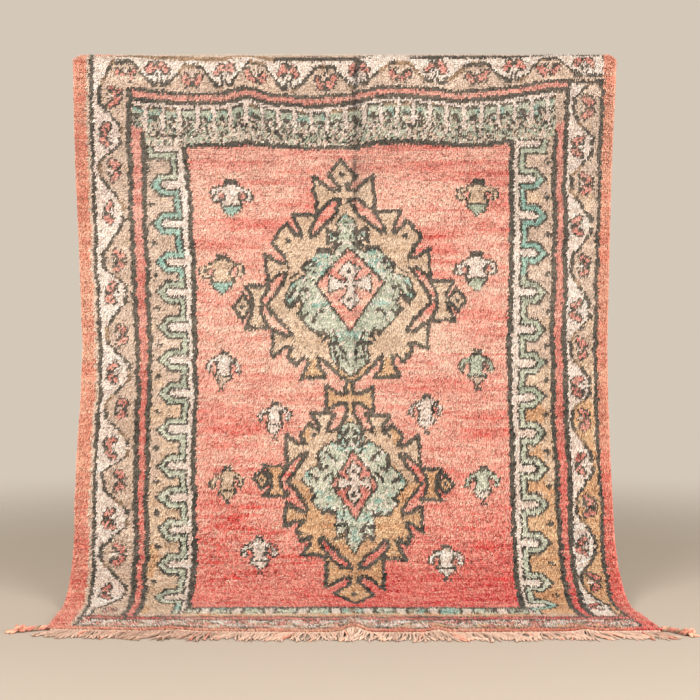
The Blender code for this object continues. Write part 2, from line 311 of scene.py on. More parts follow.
UPPER_STROKES = (
    # width, then the places it runs through
    (1.5, (9.8, 97.7), (14.8, 97.7)),
    (0.7, (2.6, 93.6), (8.6, 99.8)),
    (0.7, (4.6, 92.6), (10.4, 98.6)),
    (0.9, (2.6, 87.9), (4.8, 90.2), (7.5, 88.2), (9.9, 88.4), (9.2, 94.0)),
    (0.9, (17.3, 104.7), (19.5, 103.0), (23.5, 107.4)),
    (0.9, (28.3, 116.0), (33.2, 123.0), (31.0, 126.0), (25.8, 121.4)),
    (1.2, (25.0, 117.3), (21.5, 117.9)),
    (0.9, (26.2, 126.5), (25.5, 131.4), (22.5, 129.0)),
    (0.9, (19.5, 132.5), (17.0, 129.0), (14.5, 128.2)),
    (0.8, (16.0, 139.3), (12.8, 138.0), (11.6, 141.4), (13.6, 143.0)),
    (0.8, (8.2, 138.6), (6.6, 141.0), (4.0, 146.5)),
    (1.3, (10.5, 144.4), (6.0, 144.6)),
    (0.9, (7.4, 145.0), (7.6, 155.0)),
    (1.0, (4.6, 147.4), (2.4, 149.6)),
    (0.9, (6.0, 151.5), (2.2, 153.0)),
    (0.7, (30.0, 111.0), (26.0, 109.0)),
)
LOWER_STROKES = (
    # width, then the places it runs through
    (0.9, (1.0, 187.0), (3.5, 190.5)),
    (0.9, (5.5, 186.0), (5.0, 191.0), (2.2, 193.5)),
    (0.8, (3.0, 196.0), (0.5, 192.0)),
    (1.0, (13.0, 199.6), (9.5, 203.0)),
    (0.9, (17.6, 201.5), (17.0, 209.0), (13.5, 207.0)),
    (0.9, (11.0, 209.5), (15.0, 213.5)),
    (1.0, (22.6, 211.6), (19.5, 213.6)),
    (1.0, (22.5, 219.0), (19.5, 222.5), (22.0, 224.0)),
    (1.4, (13.4, 228.5), (11.0, 229.8)),
    (1.2, (18.2, 228.5), (16.0, 230.2)),
    (1.0, (9.5, 236.0), (5.0, 235.0), (3.0, 238.5)),
    (1.0, (9.7, 243.0), (5.0, 241.0)),
)
DOTS = (
    # out, along, radius
    (29.7, 92.5, 1.5),
    (29.2, 151.5, 1.3),
    (0.0, 60.5, 1.6),
    (55.5, 124.7, 1.3),
    (19.5, 191.0, 1.2),
    (27.0, 241.0, 1.2),
    (0.0, 273.5, 1.4),
    (46.5, 213.7, 1.1),
)


def smooth(low, high, value):
    """0 below low, 1 above high, and an even slope between them."""
    share = np.clip((value - low) / (high - low), 0, 1)
    return share * share * (3 - 2 * share)


def within(value, low, high):
    """Where a value lies between two limits."""
    return (value > low) & (value < high)


# Random values at the corners of unit squares
NOISE_SIZE = 256
NOISE = [
    np.random.default_rng(seed).uniform(-1, 1, (NOISE_SIZE, NOISE_SIZE)) for seed in range(6)
]


def drift(x, y, layer):
    """Smooth noise from -1 to 1, with features about one unit across."""
    column, row = np.floor(x).astype(int), np.floor(y).astype(int)
    right, down = smooth(0, 1, x - column), smooth(0, 1, y - row)
    near, far = (
        NOISE[layer][column % NOISE_SIZE, line % NOISE_SIZE] * (1 - right)
        + NOISE[layer][(column + 1) % NOISE_SIZE, line % NOISE_SIZE] * right
        for line in (row, row + 1)
    )
    return near * (1 - down) + far * down


def curve_table(steps=400):
    """Length along the curve onto the floor, against its angle from the vertical stretch."""
    angle = np.linspace(0, math.pi / 2, steps)
    across, down = CURVE_REACH * (1 - np.cos(angle)), CURVE_HEIGHT * np.sin(angle)
    length = np.concatenate([[0], np.cumsum(np.hypot(np.diff(across), np.diff(down)))])
    return length, angle


CURVE_LENGTHS, CURVE_ANGLES = curve_table()
FLAT_START = CURVE_START + CURVE_LENGTHS[-1]
CLOTH_END = FLAT_START + FLOOR_RUN
FLAP_END = -(HALF_TURN + FLAP)
ROWS = round((CLOTH_END - FLAP_END) / KNOT)
ROW_PITCH = (CLOTH_END - FLAP_END) / ROWS


def across_at(side, along):
    """Distance from the middle, where side runs from -1 at the left edge to 1 at the right."""
    drawn_in = np.where(
        side < 0, np.interp(along, EDGES[:, 0], EDGES[:, 1]), np.interp(along, EDGES[:, 0], EDGES[:, 2])
    )
    return side * (HALF_WIDTH - drawn_in)


def profile(along, side):
    """The cloth's back face as y and z, and the direction in which its pile points."""
    turn = np.clip(along, -HALF_TURN, HALF_TURN) / (FOLD_RADIUS + THICKNESS / 2)
    out_y, out_z = -np.sin(turn), np.cos(turn)
    y, z = FOLD_RADIUS * out_y, FOLD_RADIUS * out_z
    z = z - np.maximum(-HALF_TURN - along, 0)
    z = z - np.maximum(np.minimum(along, CURVE_START) - HALF_TURN, 0)
    angle = np.interp(along - CURVE_START, CURVE_LENGTHS, CURVE_ANGLES)
    curved = along > CURVE_START
    y = np.where(curved, -FOLD_RADIUS - CURVE_REACH * (1 - np.cos(angle)), y)
    z = np.where(curved, FLOOR + CURVE_HEIGHT * (1 - np.sin(angle)), z)
    size = np.hypot(CURVE_HEIGHT * np.cos(angle), CURVE_REACH * np.sin(angle))
    out_y = np.where(curved, -CURVE_HEIGHT * np.cos(angle) / size, out_y)
    out_z = np.where(curved, CURVE_REACH * np.sin(angle) / size, out_z)
    run = np.maximum(along - FLAT_START, 0) * (1 + FRONT_BOW * (1 - (side - BOW_SIDE) ** 2))
    return y - run, z, out_y, out_z


def hollow(across, along, side):
    """How far the hanging cloth stands back from its plane."""
    hangs = smooth(FOLDS_START, FOLDS_START + FOLDS_GROW, along) * (1 - smooth(*FOLDS_FADE, along))
    swell = sum(
        depth * np.sin(TWO_PI * across * waves + phase + slant * along)
        for depth, waves, phase, slant in SWELLS
    )
    crease = CREASE_DEPTH * np.exp(-((across - CREASE_ACROSS) / CREASE_HALF_WIDTH) ** 2 / 2)
    crease = crease * (1 - (1 - CREASE_LEFT) * smooth(*CREASE_FADES, along))
    to_edge = np.abs(across_at(np.where(side < 0, -1.0, 1.0), along)) - np.abs(across)
    curl = CURL * np.maximum(0, 1 - to_edge / CURL_WIDTH) ** 2
    return (swell + crease + curl) * hangs


def ridge(across, along):
    """How far the end of the rug stands off the floor."""
    height = 0
    for middle, tall, half_width, length in RIDGES:
        bump = np.exp(-((across - middle) / half_width) ** 2 / 2)
        height = height + tall * bump * smooth(CLOTH_END - length, CLOTH_END, along)
    return height


def place(side, along, lift):
    """Points of the cloth, lifted off its back face towards the pile."""
    side, along, lift = np.broadcast_arrays(side, along, lift)
    across = across_at(side, along)
    y, z, out_y, out_z = profile(along, side)
    off = lift - hollow(across, along, side)
    corner = CORNER_DROP * smooth(*CORNER_SPAN, np.abs(side)) ** 2
    corner = corner * (1 - smooth(*CORNER_RUN, np.abs(along)))
    points = (across, y + off * out_y, z + off * out_z + ridge(across, along) - corner)
    return np.stack(points, axis=-1)


def stroke_distance(x, y, start, end):
    """Distance to a straight stroke."""
    run, rise = end[0] - start[0], end[1] - start[1]
    x, y = x - start[0], y - start[1]
    share = np.clip((x * run + y * rise) / (run * run + rise * rise), 0, 1)
    return np.hypot(x - share * run, y - share * rise)


def outline_distance(x, y, outline):
    """Distance to a closed outline, negative inside it."""
    nearest = np.full(x.shape, np.inf)
    inside = np.zeros(x.shape, bool)
    for start, end in zip(outline, outline[1:] + outline[:1]):
        nearest = np.minimum(nearest, stroke_distance(x, y, start, end))
        if start[1] != end[1]:
            crossing = start[0] + (y - start[1]) * (end[0] - start[0]) / (end[1] - start[1])
            inside ^= ((start[1] > y) != (end[1] > y)) & (x < crossing)
    return np.where(inside, -nearest, nearest)


def diamond_distance(x, y, out, along, half_out, half_along):
    """Distance to a diamond, negative inside it."""
    reach = np.abs(x - out) / half_out + np.abs(y - along) / half_along - 1
    return reach * half_out * half_along / np.hypot(half_out, half_along)


def fan_outline(out, along, way_out, way_along, depth, half, neck):
    """A bar on a flared neck, as an outline."""
    one_side = [(-1.5, neck), (0.38 * depth, neck), (depth, half)]
    edge = one_side + [(a, -b) for a, b in reversed(one_side)]
    return [(out + a * way_out + b * way_along, along + a * way_along + b * way_out) for a, b in edge]


def from_nearest(value, pitch):
    """Distance to the nearest of evenly set lines."""
    return np.abs(value / pitch - np.round(value / pitch)) * pitch


def redraw(yarn, near, draw, *layout):
    """Lets draw change some of the yarns alone."""
    part = yarn[near]
    draw(part, *layout)
    yarn[near] = part


def draw_lines(yarn, over, run, lines):
    """Dark lines, from where each lies, its half width, and where it starts and ends."""
    for line, half, start, end in lines:
        yarn[(np.abs(over - line) < half) & within(run, start, end)] = CHARCOAL


def draw_motif(yarn, rows, row, column, letters):
    """Lays a small motif on the yarns; row and column are counted from its middle."""
    high, wide = len(rows), len(rows[0])
    row = np.floor(row + high / 2).astype(int)
    column = np.floor(column + wide / 2).astype(int)
    inside = np.flatnonzero(within(row, -1, high) & within(column, -1, wide))
    codes = np.array([[letters.get(mark, -1) for mark in line] for line in rows])
    picked = codes[row[inside], column[inside]]
    yarn[inside[picked >= 0]] = picked[picked >= 0]


def warmed(ground, along, out, late):
    """Beige turning to sand and then to ochre down the rug."""
    warm = smooth(90, 240, along) + 0.6 * drift(along / 9, out / 9, 3) + late
    ground = np.where((ground == BEIGE) & (warm > 0.35), SAND, ground)
    return np.where((ground == SAND) & (warm > 1.05), OCHRE, ground)


def vine_border(
    yarn, where, down, along, blooms, width, cream_first, length, late=NEVER_WARM, leaves=True
):
    """Cream and beige halves parted by a zigzag vine, with a bloom in each bay."""
    on_cream = [(number % 2 == 0) == cream_first for number in range(len(blooms))]
    turns, depths = [], []
    for middle, cream in zip(blooms, on_cream):
        turns += [middle - 4.0, middle + 4.0]
        depths += [0.82 if cream else 0.16] * 2
    vine = np.interp(along, turns, depths) * width
    yarn[where] = warmed(np.where(down < vine, CREAM, BEIGE), along, down, late)[where]
    gap = np.abs(along[:, None] - np.array(blooms)[on_cream][None, :]).min(axis=1) < 0.8
    line = where & ~gap & (np.abs(down - vine) < 1.05)
    yarn[line] = np.where(drift(along / 5, down / 5, 4) > 0.30, BROWN, CHARCOAL)[line]
    letters = {"k": CHARCOAL, "r": ROSE, "w": CREAM}
    for middle, cream in zip(blooms, on_cream):
        near = np.flatnonzero(where & (np.abs(along - middle) < 9))
        rows, depth = (BLOOM, 0.42) if cream else (BLOOM_HEAD, 0.62)
        if cream and not leaves:
            rows, depth = BLOOM_HEAD[::-1], 0.34
        row = down[near] - depth * width + 0.6 * drift(along[near] / 4, down[near] / 4, 1)
        column = (along[near] - middle) * len(rows[0]) / length
        column = column + 0.6 * drift(along[near] / 4, down[near] / 4, 0)
        redraw(yarn, near, draw_motif, rows, row, column, letters)


def key_border(yarn, where, out, along, teeth, reach, late):
    """Cream teeth on a cream stripe, with a green ribbon running round them."""
    teeth = np.array(teeth)
    nearest = teeth[np.abs(along[:, None] - teeth[None, :]).argmin(axis=1)]
    beside = np.abs(along - nearest)
    tooth = np.maximum(beside - 1.8, 0.7 * (out - reach + beside))
    square = np.maximum(beside - 1.2, out - reach - 1.5)
    tooth = np.where(nearest == teeth[0], square, tooth)
    distance = np.minimum(tooth, out)
    green = np.where(drift(along / 26, out / 40 + 3, 1) > 0.38, TEAL, SAGE)
    bands = np.select(
        [distance < 0, distance < 1.1, distance < 3.2, distance < 4.4],
        [CREAM, CHARCOAL, green, CHARCOAL],
        BEIGE,
    )
    bays = (teeth[1:] + teeth[:-1]) / 2
    aside = np.abs(along - bays[np.abs(along[:, None] - bays[None, :]).argmin(axis=1)])
    apart = np.abs(out - reach - 5.5)
    mark = ((aside < 1.6) & (apart < 0.6)) | ((aside < 0.6) & (apart < 1.8))
    bands = np.where(mark & (distance > 5), CHARCOAL, bands)
    yarn[where] = warmed(bands, along, out, late)[where]


def side_border(yarn, inward, along, lines, teeth, blooms, cream_outside, reach):
    """One long side, from its edge to the field."""
    guard, vine_inner, stripe_inner, cream_edge, field_edge = (
        np.interp(along, lines[0], line) for line in lines[1:]
    )
    outer = guard - 2.6 if cream_outside else guard
    yarn[within(inward, outer, cream_edge) & within(along, 1, 324)] = BEIGE
    width = vine_inner - guard - 2.2
    down = inward - guard - 1.1 if cream_outside else vine_inner - 1.1 - inward
    where = within(inward, guard, vine_inner) & within(along, 3, 322)
    mean = float(width.mean())
    late = -0.2 if cream_outside else 0.45 * smooth(110, 230, along)
    vine_late = NEVER_WARM if cream_outside else late + 0.1
    vine_border(
        yarn, where, down * mean / width, along, blooms, mean, True, 12.5, vine_late, leaves=False
    )
    stripe = within(inward, vine_inner, stripe_inner) & within(along, 34, 311)
    yarn[stripe] = np.where(along < 90 + 60 * drift(along / 12, along * 0, 2), ROSE, RED)[stripe]
    where = within(inward, stripe_inner, field_edge) & within(along, 43, 299)
    key_border(yarn, where, cream_edge - inward, along, teeth, reach, late)
    yarn[within(inward, cream_edge, field_edge) & within(along, 44.5, 297)] = CREAM
    draw_lines(yarn, inward, along, (
        (guard, 1.0 if cream_outside else 1.1, -1, 324),
        (vine_inner, 1.35, 18, 311),
        (stripe_inner, 1.35, 38, 304),
        (field_edge, 1.35, 44, 288),
    ))


def comb(across, along):
    """Green boxes with dark arched tops between hanging cream teeth, breaking up below."""
    beside = from_nearest(across + 1.2 * drift(across / 30, along * 0, 4) - 31.7, 8.42)
    loose = drift(across / 0.8, along / 0.8, 2)
    other = drift(across / 0.9 + 40, along / 0.9, 5)
    green = np.where(drift(across / 3, along / 3, 5) > 0.42, TEAL, SAGE)
    dark = loose > 0.12 + 0.3 * smooth(37, 44, along)
    yarn = np.select([dark, other > 0.10, other < -0.34], [CHARCOAL, SAGE, CREAM], BEIGE)
    arch = 26.4 + 0.20 * np.maximum(beside - 2.0, 0) ** 2
    inside = (along > arch) & (beside < 3.3)
    box = inside & (along < 32.5 + 2.0 * other)
    yarn[box] = green[box]
    yarn[inside & (np.hypot(0.8 * beside, along - 31.2) < 1.4 + 0.6 * other)] = CHARCOAL
    arched = (np.abs(along - arch) < 0.85) & (beside < 3.5)
    yarn[arched] = np.where(drift(across / 6, along, 4) > 0.4, BROWN, CHARCOAL)[arched]
    yarn[(np.abs(beside - 3.2) < 0.55) & (along > arch) & (along < 34) & (other > -0.35)] = CHARCOAL
    yarn[(beside > 3.25) & (along < 36.5 + 3.0 * other)] = CREAM
    yarn[along < 25.6] = CREAM
    return yarn


def top_border(yarn, across, along):
    """The short border under the crest: guard line, vine, red stripe and comb."""
    sag = np.interp(across, *SAG)
    sag = sag * np.interp(along, (0, 4, 18, 45, 60), (0.4, 0.5, 1.0, 0.8, 0.0))
    row = along - sag
    start = np.where(row < 12, 20.5, 27.7)
    where = within(across, start, ACROSS - 6.2) & within(row, 2.5, 18.6)
    vine_border(yarn, where, row - 3.7, across, TOP_BLOOMS, 14.0, False, 12.0)
    yarn[within(across, 20, ACROSS - 6) & within(row, -6, 1.4)] = BEIGE
    guard = within(across, 22, ACROSS - 8) & (np.abs(row - 2.5) < 1.1)
    yarn[guard] = np.where(across < 100, BROWN, CHARCOAL)[guard]
    crest = np.abs(across - 158.5) < 11 + 5 * drift(across * 0, row / 0.8, 1)
    yarn[crest & within(row, 1.4, 4)] = CREAM
    yarn[within(across, 28.5, ACROSS - 23.5) & within(row, 18.6, 24.2)] = ROSE
    start = np.where(row < 36.5, 29.5, 36.3)
    body = within(across, start, ACROSS - 29.5) & within(row, 24.2, FIELD_TOP)
    yarn[body] = comb(across, row)[body]
    draw_lines(yarn, row, across, (
        (18.6, 0.95, 28, ACROSS - 5),
        (23.0, 1.2, 28, ACROSS - 24),
        (FIELD_TOP, 1.3, 56, ACROSS - 51.4),
    ))
    draw_lines(yarn, across, row, ((28.2, 1.1, 18.6, 44), (ACROSS - 23.6, 1.1, 18.6, 30)))


def end_border(yarn, across, along):
    """The short border that lies on the floor."""
    along = along + 1.2 * drift(across / 7, along / 1.2, 3) * smooth(FIELD_END, FIELD_END + 14, along)
    blocks = within(along, FIELD_END, 303) & within(across, 59, ACROSS - 50)
    beside = from_nearest(across - 69.6, 15.5)
    loose = drift(across / 2.0, along / 2.0, 2)
    ground = np.where(drift(across / 20, along / 20, 5) > 0.1, TEAL, SAGE)
    ground = np.where((loose > 0.20) | (np.abs(beside - 2.6) < 0.8), CHARCOAL, ground)
    ground = np.where(beside < 2.0, CREAM, ground)
    ground = np.where((ground == CHARCOAL) & (loose > 0.45), BROWN, ground)
    ground = np.where(along > 298, np.where(loose > -0.1, OCHRE, SAND), ground)
    yarn[blocks] = ground[blocks]
    wide = within(across, 14, ACROSS - 8)
    yarn[wide & within(along, 303, 311.5)] = RED
    draw_lines(yarn, along, across, (
        (FIELD_END, 1.2, 60, ACROSS - 51),
        (305, 1.1, 14, ACROSS - 8),
        (310.4, 1.1, 14, ACROSS - 8),
        (325, 0.9, 14, ACROSS - 8),
    ))
    where = wide & within(along, 311.5, 324)
    vine_border(yarn, where, along - 311.5, across, END_BLOOMS, 12.5, True, 12.0, 0.40)
    worn = drift(across / 4.0, along / 0.8, 4)
    yarn[where & (worn > 0.45)] = ROSE
    yarn[where & (worn < -0.45)] = CREAM
    yarn[where & (yarn == CHARCOAL) & (worn > 0.2)] = BROWN
    yarn[along > 326] = SALMON


def medallion(yarn, out, along, body, green, fans, extras, strokes, ground):
    """One stepped medallion: body with fans, green heart and dotted outliers."""
    distance = outline_distance(out, along, list(body))
    for fan in fans:
        distance = np.minimum(distance, outline_distance(out, along, fan_outline(*fan)))
    for extra in extras:
        distance = np.minimum(distance, diamond_distance(out, along, *extra))
    yarn[distance < 1.1] = CHARCOAL
    fill = distance < -1.0
    yarn[fill] = np.broadcast_to(ground, yarn.shape)[fill]
    heart = outline_distance(out, along, list(green))
    yarn[heart < 0.5] = CHARCOAL
    loose = drift(out / 0.9, along / 0.9, 2)
    colour = np.where(drift(out / 6 + 7, along / 2.5, 1) > 0.46, TEAL, SAGE)
    colour = np.where(loose > 0.48, CREAM, colour)
    rough = (heart > -4.5) & (drift(out / 7, along / 7 + 5, 3) > 0.0)
    colour = np.where((loose < -0.46) & rough, CHARCOAL, colour)
    yarn[heart < -0.5] = colour[heart < -0.5]
    for half, *stroke in strokes:
        for start, end in zip(stroke, stroke[1:]):
            yarn[stroke_distance(out, along, start, end) < 0.88 * half] = CHARCOAL


def medallion_heart(yarn, out, along, colour, middle, half_out, above, below, arm):
    """The diamond and the cream cross with dotted ends in a medallion's heart."""
    half_along = np.where(along < middle, above, below)
    distance = diamond_distance(out, along, 0, middle, half_out, half_along)
    yarn[distance < 0.7] = CHARCOAL
    yarn[distance < -0.6] = colour
    wide = 0.34 * half_out
    cross = diamond_distance(out, along, 0, middle - 0.36 * above, wide, 5.2)
    cross = np.minimum(cross, diamond_distance(out, along, 0, middle + 0.32 * below, 0.86 * wide, 5.2))
    cross = np.minimum(cross, np.maximum(out - 1.7, np.abs(along - middle) - 0.45 * above))
    fan = fan_outline(0.5, middle, 1, 0, arm, 0.25 * half_out, 1.2)
    cross = np.minimum(cross, outline_distance(out, along, fan))
    yarn[cross < 0.75] = CHARCOAL
    yarn[cross < -0.1] = CREAM
    for dot in (middle - 0.36 * above, middle + 0.30 * below):
        yarn[np.hypot(out, along - dot) < 1.25] = CHARCOAL


def medallions(yarn, across, along):
    """Both medallions and the neck that joins them."""
    middle = np.interp(along, *MIDDLE)
    near = np.flatnonzero((np.abs(across - middle) < 64) & within(along, 50, 285))
    out, row = (across - middle)[near], along[near]
    part = yarn[near]
    slant = np.interp(row, (54, 150, 190, 260), (0.035, 0.03, -0.01, -0.05))
    row = row + slant * out
    out = np.abs(out)
    upper_ground = np.where(row > 154 + 8 * drift(out / 5, row / 9, 3), OCHRE, SAND)
    tan = drift(out / 8 + 3, row / 8, 2) > smooth(185, 250, row) - 0.25
    lower_ground = np.where(tan & (row > 180), SAND, OCHRE)
    medallion(
        part, out, row, LOWER_BODY, LOWER_GREEN, LOWER_FANS, ((46.2, 213.7, 4.0, 4.6),),
        LOWER_STROKES, lower_ground,
    )
    upper = np.flatnonzero(row < 166)
    redraw(
        part, upper, medallion, out[upper], row[upper], UPPER_BODY, UPPER_GREEN, UPPER_FANS,
        ((0.0, 61.0, 7.0, 7.5), (55.2, 124.7, 4.6, 6.0)), UPPER_STROKES, upper_ground[upper],
    )
    medallion_heart(part, out, row, CORAL, 114.8, 17.4, 18.4, 24.3, 10.3)
    medallion_heart(part, out, row, ROSE, 214.5, 11.8, 16.5, 18.0, 7.4)
    for dot_out, dot_along, radius in DOTS:
        part[np.hypot(out - dot_out, row - dot_along) < radius] = CHARCOAL
    yarn[near] = part


def design(across, along):
    """The yarn of each tuft, by knots across and along."""
    across = across + 0.30 * drift(across / 4, along / 4, 0) + 0.6 * drift(across / 19, along / 13, 3)
    across = across + 0.55 * drift(across / 7, along / 1.1, 5)
    along = along + 0.30 * drift(across / 4 + 9, along / 4, 1) + 0.8 * drift(across / 17, along / 29, 2)
    yarn = np.full(across.shape, SALMON)
    yarn[within(across, 54, ACROSS - 50) & within(along, 43, FIELD_END)] = CORAL
    medallions(yarn, across, along)
    for motif_across, motif_along, stretch, chart, body, foot in FIELD_MOTIFS:
        near = np.flatnonzero((np.abs(across - motif_across) < 14) & (np.abs(along - motif_along) < 14))
        redraw(
            yarn, near, draw_motif, chart, along[near] - motif_along,
            (across[near] - motif_across) / stretch,
            {"k": CHARCOAL, "w": body, "g": foot, "r": ROSE},
        )
    left, right = np.flatnonzero(across < ACROSS / 2), np.flatnonzero(across >= ACROSS / 2)
    redraw(
        yarn, left, side_border, across[left], along[left], LEFT_LINES, LEFT_TEETH, LEFT_BLOOMS,
        True, 10.2,
    )
    redraw(
        yarn, right, side_border, ACROSS - across[right], along[right], RIGHT_LINES, RIGHT_TEETH,
        RIGHT_BLOOMS, False, 9.2,
    )
    top_border(yarn, across, along)
    end_border(yarn, across, along)
    yarn[along < -7] = SALMON
    return yarn


def linear(colour):
    """A screen colour from 0 to 255 as light."""
    share = np.asarray(colour, float) / 255
    return np.where(share < 0.04045, share / 12.92, ((share + 0.055) / 1.055) ** 2.4)


FULL = linear([full for name, full, faded in YARNS])
FADED = linear([faded for name, full, faded in YARNS])


def sunned(yarn, fade):
    """A yarn's colour, faded that much."""
    return FULL[yarn] * (1 - fade) + FADED[yarn] * fade


def dyed(yarn, across, along, rng):
    """Each tuft's colour: uneven dye, rows from one dye lot to the next, sun, and painted shade in
    places and in dark flecks.
    """
    yarn, across, along = np.broadcast_arrays(yarn, across, along)
    lower = smooth(150, 300, along)
    lots = 0.22 * drift(across / 44, along / 1.2, 5) + 0.26 * drift(across / 26, along / 2.6, 1)
    streaks = drift(across / 9, along / 0.8, 3) * (0.22 + 0.26 * lower)
    patches = 0.22 * drift(across / 30, along / 24, 0)
    pale = 0.18 * smooth(90, 120, along) * (1 - smooth(150, 190, along))
    deep = 0.16 * smooth(225, 275, along) * smooth(110, 170, across)
    deep = np.where(yarn == CREAM, 0, deep)
    deep = np.where(np.isin(yarn, (SAGE, TEAL)), 0.12 - 0.40 * smooth(160, 200, along), deep)
    flecks = (0.13 + 0.12 * lower) * rng.normal(0, 1, yarn.shape)
    first = 0.12 * (1 - smooth(60, 100, along))
    fade = 0.55 + lots + streaks + patches + pale + first - deep + flecks
    fade = np.clip(fade, -0.30, 1.30)[:, None]
    redder = lower ** 2 * (0.9 + 0.45 * smooth(90, 170, across)) - 0.5 * pale - 0.08
    redder = redder + 1.3 * lots + patches + streaks * lower
    left_edge = 1 - smooth(8, 12, across)
    edge = smooth(180, 240, along) * smooth(254, 264, across) * (0.8 + streaks)
    edge = edge + 0.40 * smooth(205, 245, along) * left_edge
    stripe = smooth(180, 260, along) * (0.15 + 0.55 * smooth(100, 200, across))
    redder = np.select([yarn == CORAL, yarn == RED, yarn == SALMON], [redder, stripe, edge], 0.0)
    redder = np.clip(redder, 0, 1)[:, None]
    colour = sunned(yarn, fade) * (1 - redder) + sunned(CRIMSON, fade) * redder
    colour = np.clip(colour, 0.01, 1)
    # Painted shade: darker from the top border into the upper field and over the left key border low
    # down, lighter along the left edge midway down
    painted_shade = 0.13 * (smooth(14, 24, along) - smooth(45, 95, along))
    key_ground = (1 - smooth(40, 64, across)) * smooth(32, 44, across)
    painted_shade = painted_shade + 0.09 * smooth(225, 285, along) * key_ground
    painted_shade = painted_shade - 0.10 * smooth(110, 170, along) * (1 - smooth(195, 235, along)) * left_edge
    rows = 1 + 0.09 * drift(across / 4, along / 0.9, 2) - painted_shade
    # Painted shadow: some tufts are darkened and deepened as dark flecks of shade between tufts, the
    # rest made a little lighter
    gap = (rng.uniform(0, 1, yarn.shape) < 0.12 + 0.04 * lower)[:, None]
    colour = np.where(gap, 0.74 * colour ** 1.25, (1.02 + 0.04 * lower)[:, None] * colour)
    return np.clip(colour * (rows * rng.normal(1.0, 0.07, yarn.shape))[:, None], 0.01, 1)


CELL = np.array([(0, 0), (1, 0), (1, 1), (0, 1)], float)


def grid_cells(rows, columns):
    """Row, column and corner numbers of each cell in a grid of points."""
    row, column = np.divmod(np.arange(rows * columns), columns)
    first = row * (columns + 1) + column
    return row, column, first[:, None] + np.array([0, 1, columns + 2, columns + 1])


def mesh_object(name, points, faces, smooth_shading=True):
    """A mesh from arrays; faces all have as many corners as the array has columns."""
    mesh = bpy.data.meshes.new(name)
    corners = faces.shape[1]
    mesh.vertices.add(len(points))
    mesh.vertices.foreach_set("co", points.astype(np.float32).ravel())
    mesh.loops.add(faces.size)
    mesh.loops.foreach_set("vertex_index", faces.astype(np.int32).ravel())
    mesh.polygons.add(len(faces))
    mesh.polygons.foreach_set("loop_start", np.arange(0, faces.size, corners, dtype=np.int32))
    mesh.update(calc_edges=True)
    mesh.validate()
    if smooth_shading:
        mesh.shade_smooth()
    obj = bpy.data.objects.new(name, mesh)
    bpy.context.scene.collection.objects.link(obj)
    return obj


def fit_piece(obj, colours, places, wool):
    """Colours each face corner, keeps its place on the flat piece for the bake, and adds the wool."""
    yarns = np.ones((colours.size // 3, 4), np.float32)
    yarns[:, :3] = colours.reshape(-1, 3)
    layer = obj.data.color_attributes.new("yarn", "FLOAT_COLOR", "CORNER")
    layer.data.foreach_set("color", yarns.ravel())
    layer = obj.data.uv_layers.new(name="OFBake")
    layer.data.foreach_set("uv", places.astype(np.float32).ravel())
    obj.data.materials.append(wool)
    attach(obj, "root")
    return obj


class Value:
    """A shader value: sums, differences and products of it add Math nodes."""

    def __init__(self, finish, socket):
        self.finish = finish
        self.socket = socket

    def _with(self, operation, first, second):
        node = self.finish.node("ShaderNodeMath", {"operation": operation}, {0: first, 1: second})
        return Value(self.finish, node.outputs[0])

    def __add__(self, other):
        return self._with("ADD", self, other)

    def __mul__(self, other):
        return self._with("MULTIPLY", self, other)

    def __rsub__(self, other):
        return self._with("SUBTRACT", other, self)

    __radd__ = __add__
    __rmul__ = __mul__


class Finish:
    """A material under construction."""

    def __init__(self, name):
        self.material = bpy.data.materials.new(name)
        self.material.use_nodes = True
        self.tree = self.material.node_tree
        self.shader = self.tree.nodes["Principled BSDF"]

    def node(self, kind, settings=None, inputs=None):
        """A node with its settings, then the values or links of its sockets."""
        node = self.tree.nodes.new(kind)
        for name, value in (settings or {}).items():
            setattr(node, name, value)
        self.feed(node, inputs or {})
        return node

    def feed(self, node, inputs):
        """Links a value to each socket, or sets the socket to a number or colour."""
        for name, value in inputs.items():
            value = value.socket if isinstance(value, Value) else value
            if isinstance(value, bpy.types.NodeSocket):
                self.tree.links.new(value, node.inputs[name])
            else:
                node.inputs[name].default_value = value

    def noise(self, scale, detail=3.0, roughness=0.6):
        """Noise in the piece's own space."""
        space = self.node("ShaderNodeTexCoord").outputs["Object"]
        settings = {"noise_dimensions": "3D"}
        inputs = {"Vector": space, "Scale": scale, "Detail": detail, "Roughness": roughness}
        return Value(self, self.node("ShaderNodeTexNoise", settings, inputs).outputs["Fac"])


def wool_finish(name, fibre=900.0, depth=0.0012, shade=0.30, sheen=0.15):
    """Matt wool in the colours of its yarns, with fine fibres."""
    finish = Finish(name)
    yarn = finish.node("ShaderNodeAttribute", {"attribute_name": "yarn"}).outputs["Color"]
    fibres = finish.noise(fibre)
    tone = (1 - 0.5 * shade) + fibres * shade
    grey = finish.node("ShaderNodeCombineColor", {"mode": "RGB"}, {0: tone, 1: tone, 2: tone})
    mixed = finish.node(
        "ShaderNodeMix",
        {"data_type": "RGBA", "blend_type": "MULTIPLY"},
        {"Factor": 1.0, 6: yarn, 7: grey.outputs[0]},
    )
    bump = finish.node("ShaderNodeBump", None, {"Strength": 0.6, "Distance": depth, "Height": fibres})
    finish.feed(finish.shader, {
        "Base Color": mixed.outputs[2],
        "Normal": bump.outputs["Normal"],
        "Roughness": 0.95,
        "Specular IOR Level": 0.15,
        "Sheen Weight": sheen,
        "Sheen Roughness": 0.6,
    })
    return finish.material


ROOT_PAINTED_SHADES = (0.48, 0.48, 0.38, 0.38)      # painted shade at a tuft's four roots, upper pair first
# painted light at a tuft's tip
TIP_PAINTED_LIGHT = 1.12
BACK_LIFT = 0.0006
BACK_SHADE = 0.82
BACK_PAINTED_SHADES = (0.66, 1.0, 1.06, 0.74)       # painted shade and light at a flat knot's four corners


def knots_down(along):
    """Knots along the design from the crest; the first rows over the fold are set closer."""
    rows = along / KNOT
    return rows - smooth(0, 30, rows)


